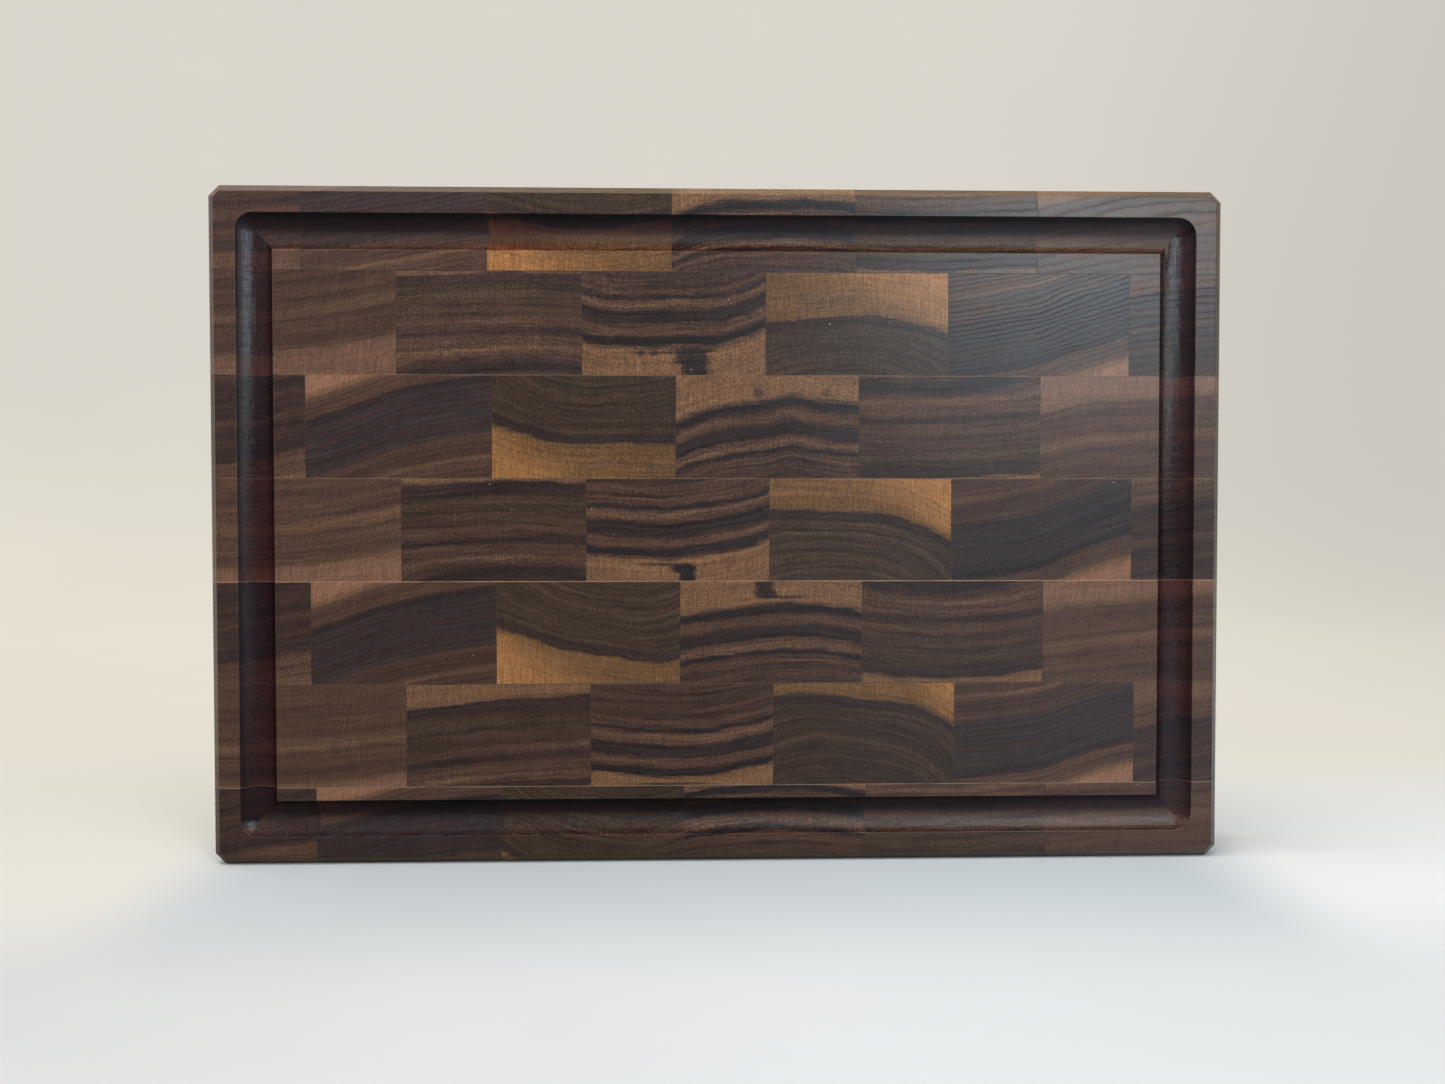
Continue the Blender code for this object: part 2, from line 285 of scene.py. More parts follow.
FIGURES = {
    "A": Figure(
        bands=[
            (-14, SALMON), (-5, SALMON), (-1.5, FAWN), (0, CHESTNUT), (2.2, COCOA), (5, COCOA), (7, CHESTNUT),
            (10, CHESTNUT), (12, COCOA), (15.5, FAWN), (18, CHESTNUT), (21, COCOA), (24.5, CHESTNUT),
            (29, COCOA), (36, CHESTNUT),
        ],
        rings=(4.2, 0.22),
        rays=-0.12,
        grain=0.8,
        tone=[1.0, 0.90, 1.0, 1.10, 1.0, 1.0, 1.0],
        lines=[
            (-16, -15, -13, -9, -4),
            (-14, -12.5, -10.5, -7.5, -3),
            (-14, -12.8, -11, -9.8, -5.5),
            (-16, -15.3, -13.8, -11, -7),
            (-15, -14.2, -12.5, -10.8, -8),
            (-21, -20.5, -19.5, -17.5, -15.3),
            (-24, -24, -23, -22, -20),
        ],
    ),
    "B": Figure(
        bands=[
            (-24, CHESTNUT), (-20, COCOA), (-17.5, DARK), (-14.5, DARK), (-12.5, UMBER), (-11, COCOA),
            (-9, CHESTNUT), (-8.2, FAWN), (-7, COCOA), (-4, CHESTNUT), (-2, BROWN), (-0.8, UMBER),
            (0.4, UMBER), (1.8, COCOA), (4, CHESTNUT), (5.5, COCOA), (7.5, HAZEL), (10, COCOA), (13, HAZEL),
            (16, OLIVE), (19, HAZEL), (23, UMBER), (25.4, UMBER), (26.2, FAWN), (28, TAN),
        ],
        rings=(3.6, 0.24),
        grain=1.2,
        arch=(4.0, 15.0),
        tone=[1.0, 1.12, 1.02, 0.90, 0.95, 0.92, 1.0],
        lines=[
            (-5, -4, -3, -3, -4),
            (-5, -4, -3.3, -3, -3.8),
            (-5.7, -4.1, -2.8, -2.5, -2.3),
            (-6, -4.7, -3.5, -3.6, -4.7),
            (-9, -6, -4.5, -5.5, -8),
            (-14, -11.5, -9.5, -8.5, -7.5),
            (-14, -13, -12, -12, -12),
        ],
    ),
    "C": Figure(
        bands=[
            (-14.2, TAN), (-12.8, CHESTNUT), (-11.8, DARK), (-10.8, INK), (-9.8, INK),
            (-9.0, DARK), (-8.0, BROWN), (-6.6, CHESTNUT), (-4.4, CHESTNUT), (-3.4, BROWN), (-2.4, DARK),
            (-1.4, DARK), (-0.2, DARK), (0.4, UMBER), (1.0, DARK), (1.8, INK), (2.6, DARK), (3.6, COCOA),
            (4.8, CHESTNUT), (6.6, FAWN), (7.8, CHESTNUT), (8.7, UMBER), (9.3, INK), (10.1, DARK),
            (10.9, BROWN), (12.5, COCOA), (14, CHESTNUT), (15.2, UMBER), (16.4, BROWN), (20, COCOA),
            (21.5, UMBER), (23, BROWN),
        ],
        rings=(2.6, 0.16),
        grain=1.35,
        spread=[
            (0.75, 1.12), (0.84, 1.10), (0.95, 1.12), (1.0, 1.0), (0.98, 0.97), (1.0, 0.89), (1.05, 0.85),
        ],
        knots={
            2: [
                (8.2, -15.5, 8.4, 5.0, 0.9), (9.8, -22, 6.6, 8.0, 0.9), (8, -11.6, 12, 1.3, 0.8),
                (-8, -12.8, 14, 0.6, 0.6), (-15, -13.2, 1.5, 1.5, 0.7), (-9, -13, 2.0, 1.4, 0.7),
            ],
            3: [(-26.5, -15.6, 2.0, 1.7, 0.5), (4.5, -15.4, 2.4, 2.5, 0.6)],
            4: [(2.4, -17.2, 6.2, 2.4, 1.0), (4.2, -21, 3.8, 6.0, 1.0), (-7, -15.3, 12, 0.7, 0.75)],
            5: [(2.6, -17.6, 5.8, 2.6, 0.85), (3.2, -22, 4.4, 6.0, 0.85), (-6, -15.9, 10, 0.7, 0.75)],
            6: [(-4, -22.2, 20, 0.6, 0.7)],
        },
        lines=[
            (7, 5.4, 4.8, 4.7, 5, 5.2, 6.2, 8.6, 13.2),
            (6.5, 3.6, 3.0, 3.3, 3.8, 4.0, 4.8, 7.5, 12.3),
            (3.5, 2.6, 1.4, -0.6, 1.9, 3.0, 4.5, 7.2, 11.5),
            (2.0, 1.5, 0.6, 0.0, 0.2, 1.6, 3.2, 5.2, 9.0),
            (2.8, 0.6, -0.6, -0.9, -0.6, 0.5, 1.8, 3.2, 5.0),
            (-4.8, -5.9, -6.8, -7.6, -7.9, -7.4, -5.6, -3.6, -1.2),
            (-9.7, -11.5, -12.8, -13.5, -13.7, -13.3, -12.5, -11.2, -9.7),
        ],
    ),
    "D": Figure(
        bands=[
            (-34, HAZEL), (-28, HAZEL), (-26.4, OLIVE), (-25, HAZEL), (-21.6, HAZEL), (-21, COCOA),
            (-20.2, HAZEL), (-18.6, OLIVE), (-17.8, HAZEL), (-11, HAZEL), (-10, OLIVE), (-9, HAZEL),
            (-6.2, HAZEL), (-5.4, OLIVE), (-4.6, HAZEL), (-3.6, UMBER), (-0.6, UMBER), (0, BROWN),
            (0.5, FAWN), (1.2, HONEY), (8, HONEY), (9.2, FAWN), (10.5, HONEY), (16, HONEY),
        ],
        rings=(3.1, 0.34),
        arch=(6.0, -8.0),
        tone=[0.98, 0.95, 0.88, 1.02, 1.02, 0.90, 1.0],
        glow=True,
        sapwood=0.25,
        grain=1.15,
        lines=[
            (-1.5, 1.0, 2.6, 3.2, 2.2, -0.5, -3.0),
            (0.5, 2.0, 3.0, 3.7, 2.8, 0.3, -4.0),
            (7.5, 7.3, 6.9, 7.5, 6.3, 2.6, -2.2),
            (9.3, 9.1, 8.6, 7.9, 6.3, 1.8, -5.3),
            (12.0, 13.2, 11.0, 9.1, 6.3, 1.2, -3.0),
            (16.9, 18.4, 17.3, 15.5, 14.4, 11.0, 3.0),
            (20.5, 22, 21, 19, 18, 14, 5),
        ],
    ),
    "E": Figure(
        bands=[
            (-20, ROSE), (-13.5, ROSE), (-11.4, TAN), (-10.2, FAWN), (-9, CHESTNUT), (-5, COCOA),
            (-2.4, CHESTNUT), (-1.4, BROWN), (-0.2, DARK), (1.8, DARK), (3, SLATE), (6, UMBER),
            (8, SLATE), (12, UMBER), (15, SLATE), (20, UMBER), (23, SLATE), (27, COCOA), (29.5, BROWN),
            (33.5, BROWN), (35.2, CHESTNUT), (36.2, FAWN), (37.4, COCOA), (41, COCOA), (46, BROWN),
        ],
        rings=(2.3, 0.34),
        rays=-0.25,
        grain=0.75,
        calm=0.4,
        tone=[1.3, 1.0, 1.08, 0.93, 1.0, 1.05, 1.0],
        lines=[
            (-24, -22, -19, -17, -14.5, -12, -10),
            (-24, -22, -19.5, -17, -12, -7.8, -3),
            (-23, -21.3, -19, -16, -11, -6, -2),
            (-23, -21, -19, -16, -10, -5, -1),
            (-21, -19, -17, -14, -10.5, -5.5, -1),
            (-20, -18.8, -17.2, -15, -10, -6, -3),
            (-19, -18, -16.5, -14, -10, -6, -3),
        ],
    ),
    "F": Figure(
        bands=[
            (-36, BROWN), (-30, UMBER), (-25, BROWN), (-20, UMBER), (-16, COCOA), (-12, UMBER), (-8, BROWN),
            (-4, UMBER), (-0.8, UMBER), (0.4, BROWN), (1.6, CHESTNUT), (8, CHESTNUT), (12, FAWN),
        ],
        rings=(3.4, 0.30),
        rays=-0.18,
        grain=0.9,
        tone=[1.35, 1.0, 0.97, 1.0, 1.0, 1.0, 1.0],
        half=20.64,
        lines=[
            (12, 13, 14, 15, 16),
            (13, 14.5, 16, 17, 18),
            (9, 11, 13.7, 15, 16),
            (9.5, 11, 12.3, 13.7, 15),
            (7, 8.5, 10.3, 12, 13.3),
            (1, 3.5, 5.5, 6, 9),
            (0, 1.8, 2.8, 4.5, 7),
        ],
    ),
}
FIGURE_RANGE = 45.0  # mm each way that a figure's curve covers
BAND_RANGE = 50.0  # mm each way that its bands cover

# Linear colours of the stage
# Painted shadow: the floor just before the board is painted darker and bluer
FLOOR_SHADOW_LEFT = (0.49, 0.52, 0.54, 1.0)
FLOOR_SHADOW_RIGHT = (0.535, 0.58, 0.61, 1.0)
# Painted shade and light: the floor is painted darker on the left and paler on the right, against the key
# lamp's fall from the left
FLOOR_LEFT = (0.61, 0.59, 0.54, 1.0)
FLOOR_RIGHT = (0.77, 0.78, 0.765, 1.0)
FLOOR_FRONT_LEFT = (0.50, 0.50, 0.49, 1.0)
FLOOR_FRONT_RIGHT = (0.61, 0.63, 0.63, 1.0)
FLOOR_BOUNCE = (0.34, 0.34, 0.34, 1.0)
FLOOR_MIRRORED_LEFT = (0.12, 0.12, 0.13, 1.0)
FLOOR_MIRRORED_RIGHT = (0.40, 0.49, 0.60, 1.0)
# Painted light in the backdrop's glow: paler at its foot and on the left, darker on the right
WALL_LEFT = (0.71, 0.67, 0.61, 1.0)
WALL_RIGHT = (0.60, 0.570, 0.52, 1.0)
WALL_FOOT = (0.77, 0.73, 0.63, 1.0)
WALL_FOOT_RIGHT = (0.66, 0.62, 0.55, 1.0)
WORLD_LIGHT = (0.14, 0.14, 0.15, 1.0)
WORLD_LEFT = (0.38, 0.42, 0.50, 1.0)
WORLD_SEEN = (0.69, 0.67, 0.62, 1.0)

# Where the stage's colours meet, in metres
NEAR_ZONE = (-0.15, 0.15)
SIDE_ZONE = (-0.1, 0.1)
FRONT_ZONE = (-0.4, 0.1)
BESIDE_REACH = 0.03
BEFORE_ZONE = (-0.05, -0.16)
BACK_ZONE = (-0.04, 0.25)
FAR_FRONT = (-0.60, -1.10)
FAR_SIDE = (0.7, 1.3)
MIRRORED_ZONE = (-0.05, 0.25)
WALL_ZONE = (0.1, 1.4)
WALL_LEAN = -0.35
FOOT_ZONE = (0.02, 0.45)
FOOT_DROP = 0.22
WORLD_LEFT_X = (0.0, -0.35)
WORLD_LEFT_Z = (-0.05, 0.15)

# The stage's shape, in metres, and its paint
SWEEP_HALF_WIDTH = 4.0
SWEEP_FRONT = -3.0
SWEEP_BACK = 1.0
SWEEP_RADIUS = 0.9
SWEEP_TOP = 3.2
SWEEP_STEPS = 24
SWEEP_ROUGHNESS = 0.8
SWEEP_SPECULAR = 0.2
STAGE_CLOUD_SCALE = 3.0
STAGE_CLOUD = (0.3, 0.7)
FRONT_CLOUD = 0.20
WALL_CLOUD = 0.10
WALL_IN_GLOSS = 0.75
BLACK = (0.0, 0.0, 0.0, 1.0)

# Linear colours of the glue in each row seam from the top, and in the seams between blocks
ROW_GLUE = [
    (0.055, 0.036, 0.026),
    (0.190, 0.110, 0.062),
    (0.170, 0.098, 0.055),
    (0.400, 0.220, 0.120),
    (0.110, 0.062, 0.036),
    (0.240, 0.160, 0.105),
]
STRIP_GLUE = (0.060, 0.034, 0.022)


# Meshes


def add_object(name, bm):
    """Closes a bmesh into a named object with its faces pointing out."""
    bmesh.ops.recalc_face_normals(bm, faces=bm.faces)
    mesh = bpy.data.meshes.new(name)
    bm.to_mesh(mesh)
    bm.free()
    obj = bpy.data.objects.new(name, mesh)
    bpy.context.scene.collection.objects.link(obj)
    return obj


def prism(outline, near, far):
    """A bmesh prism of an (x, z) outline that runs from y = near to y = far."""
    bm = bmesh.new()
    face = bm.faces.new([bm.verts.new((x, near, z)) for x, z in outline])
    extruded = bmesh.ops.extrude_face_region(bm, geom=[face])["geom"]
    moved = [item for item in extruded if isinstance(item, bmesh.types.BMVert)]
    bmesh.ops.translate(bm, verts=moved, vec=(0, far - near, 0))
    return bm


def slab_envelope():
    """The finished slab, with its corners cut off, its faces chamfered and every arris eased."""
    outline = []
    for side_x, side_z, first in ((1, -1, 1), (1, 1, 0), (-1, 1, 1), (-1, -1, 0)):
        x = HIGH.x if side_x > 0 else LOW.x
        z = HIGH.z if side_z > 0 else LOW.z
        along_x = (x - side_x * CORNER_CUT, z)
        along_z = (x, z - side_z * CORNER_CUT)
        outline += [along_x, along_z] if first else [along_z, along_x]
    bm = prism(outline, LOW.y, HIGH.y)
    rims = [edge for edge in bm.edges if abs(edge.verts[0].co.y - edge.verts[1].co.y) < SAME_POINT]
    bmesh.ops.bevel(bm, geom=rims, offset=EDGE_CHAMFER, segments=1, affect="EDGES")
    bmesh.ops.bevel(
        bm, geom=list(bm.edges), offset=ARRIS_RADIUS, segments=ARRIS_STEPS, profile=0.5, affect="EDGES"
    )
    return add_object("slab_envelope", bm)


def groove_profile():
    """(offset, y) round the groove's section, outwards from its centreline, with eased lips."""
    centre_rise = GROOVE_RADIUS - GROOVE_DEPTH
    lip_depth = LIP_RADIUS - LIP_RISE
    lip_offset = math.sqrt((GROOVE_RADIUS + LIP_RADIUS) ** 2 - (centre_rise + lip_depth) ** 2)
    half_angle = math.atan2(lip_offset, centre_rise + lip_depth)
    points = []
    for step in range(GROOVE_ARC_STEPS + 1):
        angle = half_angle * (2 * step / GROOVE_ARC_STEPS - 1)
        points.append((GROOVE_RADIUS * math.sin(angle), GROOVE_RADIUS * math.cos(angle) - centre_rise))
    lip = []
    for step in range(1, LIP_STEPS + 1):
        angle = half_angle * (1 - step / LIP_STEPS)
        lip.append((lip_offset - LIP_RADIUS * math.sin(angle), lip_depth - LIP_RADIUS * math.cos(angle)))
    points = [(-offset, depth) for offset, depth in reversed(lip)] + points + lip
    points += [(lip_offset, -OVERRUN), (-lip_offset, -OVERRUN)]
    return [(offset, LOW.y + depth) for offset, depth in points]


def groove_half_width():
    return math.sqrt(GROOVE_RADIUS**2 - (GROOVE_RADIUS - GROOVE_DEPTH) ** 2)


def groove_loop(offset, reach_x, reach_z):
    """(x, z) round the board at an offset from the groove's centreline: round outside, sharp inside."""
    middle_x = (LOW.x + HIGH.x) / 2
    middle_z = (LOW.z + HIGH.z) / 2
    points = []
    for quarter, (side_x, side_z) in enumerate(((1, 1), (-1, 1), (-1, -1), (1, -1))):
        for step in range(GROOVE_CORNER_STEPS + 1):
            angle = (quarter + step / GROOVE_CORNER_STEPS) * math.pi / 2
            turn_x = math.cos(angle) if offset > 0 else side_x
            turn_z = math.sin(angle) if offset > 0 else side_z
            x = middle_x + side_x * reach_x + offset * turn_x
            z = middle_z + side_z * reach_z + offset * turn_z
            points.append((x, z))
    return points


def groove_cutter():
    """The groove's section swept round the board."""
    inset = GROOVE_RIM + groove_half_width()
    reach_x = BOARD_WIDTH / 2 - inset
    reach_z = BOARD_HEIGHT / 2 - inset
    bm = bmesh.new()
    loops = []
    for offset, y in groove_profile():
        points = groove_loop(offset, reach_x, reach_z)
        loops.append([bm.verts.new((x, y, z)) for x, z in points])
    for loop, after in zip(loops, loops[1:] + loops[:1]):
        for index in range(len(loop)):
            bm.faces.new((loop[index - 1], loop[index], after[index], after[index - 1]))
    bmesh.ops.remove_doubles(bm, verts=bm.verts, dist=SAME_POINT)
    return add_object("groove_cutter", bm)


def finished_piece(name, outline, envelope, groove, matrix):
    """A raw (x, z) outline trimmed to the slab and routed, with its own origin and turn."""
    raw = add_object(name + "_raw", prism(outline, LOW.y - OVERRUN, HIGH.y + OVERRUN))
    for operation, cutter in (("INTERSECT", envelope), ("DIFFERENCE", groove)):
        cut = raw.modifiers.new(operation, "BOOLEAN")
        cut.operation = operation
        cut.object = cutter
        cut.solver = "EXACT"
    depsgraph = bpy.context.evaluated_depsgraph_get()
    mesh = bpy.data.meshes.new_from_object(raw.evaluated_get(depsgraph))
    bpy.data.objects.remove(raw, do_unlink=True)
    mesh.name = name
    mesh.transform(matrix.inverted())
    mesh.shade_smooth()
    mesh.set_sharp_from_angle(angle=SMOOTH_ANGLE)
    piece = bpy.data.objects.new(name, mesh)
    piece.matrix_world = matrix
    bpy.context.scene.collection.objects.link(piece)
    normals = piece.modifiers.new("flat_faces_stay_flat", "WEIGHTED_NORMAL")
    normals.keep_sharp = True
    return piece


# Materials


class Tree:
    """Adds nodes to a node tree. An input is a socket or a plain value."""

    def __init__(self, tree):
        self.tree = tree

    def add(self, kind, values=(), **settings):
        node = self.tree.nodes.new(kind)
        for key, value in settings.items():
            setattr(node, key, value)
        items = values.items() if isinstance(values, dict) else enumerate(values)
        for key, value in items:
            if isinstance(value, bpy.types.NodeSocket):
                self.tree.links.new(value, node.inputs[key])
            elif value is not None:
                node.inputs[key].default_value = value
        return node

    def math(self, operation, *values):
        return self.add("ShaderNodeMath", values, operation=operation).outputs[0]

    def vector(self, operation, *values):
        return self.add("ShaderNodeVectorMath", values, operation=operation).outputs[0]

    def smooth(self, value, start, end, low=0.0, high=1.0):
        """A smooth step from low at start to high at end."""
        values = {"Value": value, "From Min": start, "From Max": end, "To Min": low, "To Max": high}
        node = self.add("ShaderNodeMapRange", values, interpolation_type="SMOOTHSTEP")
        return node.outputs[0]

    def mix(self, factor, first, second, blend="MIX"):
        values = {0: factor, 6: first, 7: second}
        node = self.add("ShaderNodeMix", values, data_type="RGBA", blend_type=blend)
        return node.outputs[2]

    def noise(self, vector, scale, detail=2.0, roughness=0.5):
        values = {"Vector": vector, "Scale": scale, "Detail": detail, "Roughness": roughness}
        return self.add("ShaderNodeTexNoise", values).outputs[0]

    def wave_about_zero(self, vector, scale, size, detail=2.0):
        """Noise that swings about 0 by about size each way."""
        return self.math("MULTIPLY", self.math("SUBTRACT", self.noise(vector, scale, detail), 0.5), 2 * size)

    def swing(self, value, size):
        """A factor that swings about 1 as a noise value swings about 0.5."""
        return self.math("MULTIPLY_ADD", self.math("SUBTRACT", value, 0.5), size, 1.0)

    def ramp(self, value, stops):
        """A colour ramp with stops from 0 to 1."""
        node = self.add("ShaderNodeValToRGB", [value])
        elements = node.color_ramp.elements
        elements[0].position, elements[1].position = stops[0][0], stops[-1][0]
        for position, _ in stops[1:-1]:
            elements.new(position)
        for element, (_, colour) in zip(elements, stops):
            element.color = (*colour, 1.0)
        return node.outputs[0]

    def curve(self, value, points):
        """A smooth curve through points from 0 to 1."""
        node = self.add("ShaderNodeFloatCurve", {"Value": value})
        line = node.mapping.curves[0].points
        line[0].location, line[1].location = points[0], points[-1]
        for point in points[1:-1]:
            line.new(*point)
        node.mapping.update()
        return node.outputs[0]


def new_material(name):
    material = bpy.data.materials.new(name)
    material.use_nodes = True
    tree = Tree(material.node_tree)
    return material, tree, material.node_tree.nodes["Principled BSDF"]


def detail_group():
    """Pores, rays, fine rings and oil, the same in every strip.

    Takes a place along the strip in mm, the figure's colour and the ring height, and how far the
    spot is an outer edge, a groove wall or the groove's lip, and gives the finished colour,
    roughness and relief.
    """
    group = bpy.data.node_groups.new("walnut_detail", "ShaderNodeTree")
    for name, kind in (
        ("Place", "NodeSocketVector"),
        ("Colour", "NodeSocketColor"),
        ("Ring", "NodeSocketFloat"),
        ("Ring Width", "NodeSocketFloat"),
        ("Ring Strength", "NodeSocketFloat"),
        ("Ray Lean", "NodeSocketFloat"),
        ("Edge", "NodeSocketFloat"),
        ("Groove", "NodeSocketFloat"),
        ("Ragged And Shaded", "NodeSocketFloat"),
        ("Lip Highlight", "NodeSocketFloat"),
        ("Painted Light Share", "NodeSocketFloat"),
        ("Dull", "NodeSocketFloat"),
        ("Border", "NodeSocketFloat"),
        ("Grain", "NodeSocketFloat"),
    ):
        group.interface.new_socket(name, in_out="INPUT", socket_type=kind)
    for name, kind in (
        ("Colour", "NodeSocketColor"),
        ("Roughness", "NodeSocketFloat"),
        ("Relief", "NodeSocketFloat"),
    ):
        group.interface.new_socket(name, in_out="OUTPUT", socket_type=kind)
    tree = Tree(group)
    given = tree.add("NodeGroupInput").outputs
    place = given["Place"]
    u, y, v = tree.add("ShaderNodeSeparateXYZ", [place]).outputs
    red = tree.add("ShaderNodeSeparateColor", [given["Colour"]]).outputs[0]

    # Pores are fine tubes along the fibres: dots on the end grain, streaks on the long grain
    pore_place = tree.vector("MULTIPLY", place, PORE_SCALE)
    pores = tree.add("ShaderNodeTexVoronoi", {"Vector": pore_place, "Scale": 1.0}, feature="F1").outputs[0]
    pore = tree.smooth(pores, *PORE_RADIUS)
    grain = tree.noise(tree.vector("MULTIPLY", place, GRAIN_SCALE), 1.0, 2.0, 0.8)

    # Rays are thin lines across the rings
    ray_u = tree.math("ADD", u, tree.math("MULTIPLY", v, given["Ray Lean"]))
    ray_y = tree.math("MULTIPLY", y, RAY_STRETCH_Y)
    ray_v = tree.math("MULTIPLY", v, RAY_STRETCH_V)
    ray_place = tree.add("ShaderNodeCombineXYZ", [ray_u, ray_y, ray_v]).outputs[0]
    ray = tree.noise(ray_place, RAY_SCALE, 2.0, 0.7)

    # Fine threads of lighter and darker wood lie along the rings
    thread_u = tree.math("MULTIPLY", u, THREAD_STRETCH_U)
    thread_y = tree.math("MULTIPLY", y, THREAD_STRETCH_Y)
    thread_place = tree.add("ShaderNodeCombineXYZ", [thread_u, thread_y, given["Ring"]]).outputs[0]
    thread = tree.noise(thread_place, THREAD_SCALE, 3.0, 0.68)
    thread_gain = tree.math("MULTIPLY", given["Grain"], tree.smooth(red, *THREAD_GAIN))

    # Each ring darkens outwards and ends at a sharp line
    drift = tree.wave_about_zero(tree.vector("MULTIPLY", place, DRIFT_SCALE), 1.0, DRIFT)
    turns = tree.math("ADD", tree.math("DIVIDE", given["Ring"], given["Ring Width"]), drift)
    share = tree.math("FRACT", turns)
    late = tree.math("MULTIPLY", tree.smooth(share, *LATEWOOD_START), tree.smooth(share, *LATEWOOD_END))
    patch = tree.noise(tree.vector("MULTIPLY", place, PATCH_SCALE), 1.0, 2.0)
    ring = tree.math("MULTIPLY", late, given["Ring Strength"])
    ring = tree.math("MULTIPLY", ring, tree.smooth(patch, *PATCH_GAIN))
    ring = tree.math("MULTIPLY", ring, tree.smooth(red, *RING_GAIN))

    cloud = tree.noise(tree.vector("MULTIPLY", place, CLOUD_SCALE), 1.0, 2.0)
    light = tree.math("MULTIPLY_ADD", cloud, CLOUD_SWING, CLOUD_LEAST)
    light = tree.math("MULTIPLY", light, tree.math("SUBTRACT", 1.0, ring))
    light = tree.math("MULTIPLY", light, tree.swing(ray, tree.smooth(red, *RAY_GAIN)))
    grain_gain = tree.math("MULTIPLY", given["Grain"], tree.smooth(red, *GRAIN_GAIN))
    light = tree.math("MULTIPLY", light, tree.swing(grain, grain_gain))
    light = tree.math("MULTIPLY", light, tree.swing(thread, thread_gain))
    light = tree.math("MULTIPLY", light, tree.math("MULTIPLY_ADD", pore, PORE_DARKENING, PORE_LIFT))
    tear = tree.noise(tree.vector("MULTIPLY", place, TEAR_SCALE), 1.0, 2.0, 0.7)
    tear_gain = tree.math("MULTIPLY", given["Groove"], TEAR_SWING)
    light = tree.math("MULTIPLY", light, tree.swing(tear, tear_gain))
    colour = tree.mix(1.0, given["Colour"], light, "MULTIPLY")

    # Sparse pale specks of sanding dust in open pores
    specks = tree.add("ShaderNodeTexVoronoi", {"Vector": place, "Scale": SPECK_SCALE}, feature="F1").outputs
    chance = tree.add("ShaderNodeSeparateColor", [specks[1]]).outputs[0]
    chosen = tree.math("GREATER_THAN", chance, SPECK_RARITY)
    speck = tree.math("MULTIPLY", tree.smooth(specks[0], *SPECK_RADIUS), chosen)
    colour = tree.mix(tree.math("MULTIPLY", speck, SPECK_STRENGTH), colour, (*DUST, 1.0))

    # Sanded sides are paler long grain and sanded chamfers get a pale painted sheen, and groove walls are
    # darker
    pale = tree.mix(1.0, colour, EDGE_LIFT, "MULTIPLY")
    pale = tree.mix(EDGE_PALENESS, pale, (*PALE_GRAIN_AND_SHEEN, 1.0))
    colour = tree.mix(given["Edge"], colour, pale)
    # Groove walls that face up get painted light
    painted_light_colour = tree.mix(tree.smooth(red, *SAPWOOD_REDNESS), PAINTED_LIGHT_KEEPS, PAINTED_LIGHT_KEEPS_PALE)
    soaked_with_painted_light = tree.mix(1.0, colour, tree.mix(given["Painted Light Share"], SOAKED, painted_light_colour), "MULTIPLY")
    colour = tree.mix(given["Groove"], colour, soaked_with_painted_light)
    # Steep walls are darker: torn end grain, and painted shade where they face down
    ragged_and_shaded_colour = tree.mix(1.0, colour, TORN_AND_SHADED, "MULTIPLY")
    ragged_and_shaded_wall = tree.math("MULTIPLY", given["Groove"], given["Ragged And Shaded"])
    colour = tree.mix(ragged_and_shaded_wall, colour, ragged_and_shaded_colour)
    # The inner lip gets a pale painted highlight
    colour = tree.mix(tree.math("MULTIPLY", given["Lip Highlight"], LIP_HIGHLIGHT), colour, (*PALE_GRAIN_AND_SHEEN, 1.0))

    rough = tree.math("MULTIPLY_ADD", grain, GRAIN_ROUGHNESS, LEAST_ROUGHNESS)
    rough = tree.math("MULTIPLY_ADD", thread, THREAD_ROUGHNESS, rough)
    rough = tree.math("MULTIPLY_ADD", ring, RING_ROUGHNESS, rough)
    dull = tree.math("MULTIPLY_ADD", given["Dull"], GROOVE_DULLNESS, GROOVE_POLISH)
    rough = tree.math("MULTIPLY_ADD", given["Groove"], dull, rough)
    rough = tree.math("MULTIPLY_ADD", ragged_and_shaded_wall, TORN_ROUGHNESS, rough)
    relief = tree.math("MULTIPLY_ADD", pore, PORE_RELIEF, tree.math("MULTIPLY", grain, GRAIN_RELIEF))
    relief = tree.math("MULTIPLY_ADD", ray, RAY_RELIEF, relief)
    relief = tree.math("MULTIPLY_ADD", ring, RING_RELIEF, relief)

    # The bit leaves fine ridges along the groove
    ridge_place = tree.vector("MULTIPLY", place, RIDGE_STRETCH)
    ridge_u, _, ridge_v = tree.add("ShaderNodeSeparateXYZ", [ridge_place]).outputs
    ridge_border = tree.math("MULTIPLY", given["Border"], RIDGES_PER_MM)
    ridge_place = tree.add("ShaderNodeCombineXYZ", [ridge_u, ridge_border, ridge_v]).outputs[0]
    ridge = tree.math("MULTIPLY", tree.noise(ridge_place, 1.0, 2.0, 0.6), given["Groove"])
    relief = tree.math("MULTIPLY_ADD", ridge, RIDGE_RELIEF, relief)
    tree.add("NodeGroupOutput", [colour, rough, relief])
    return group


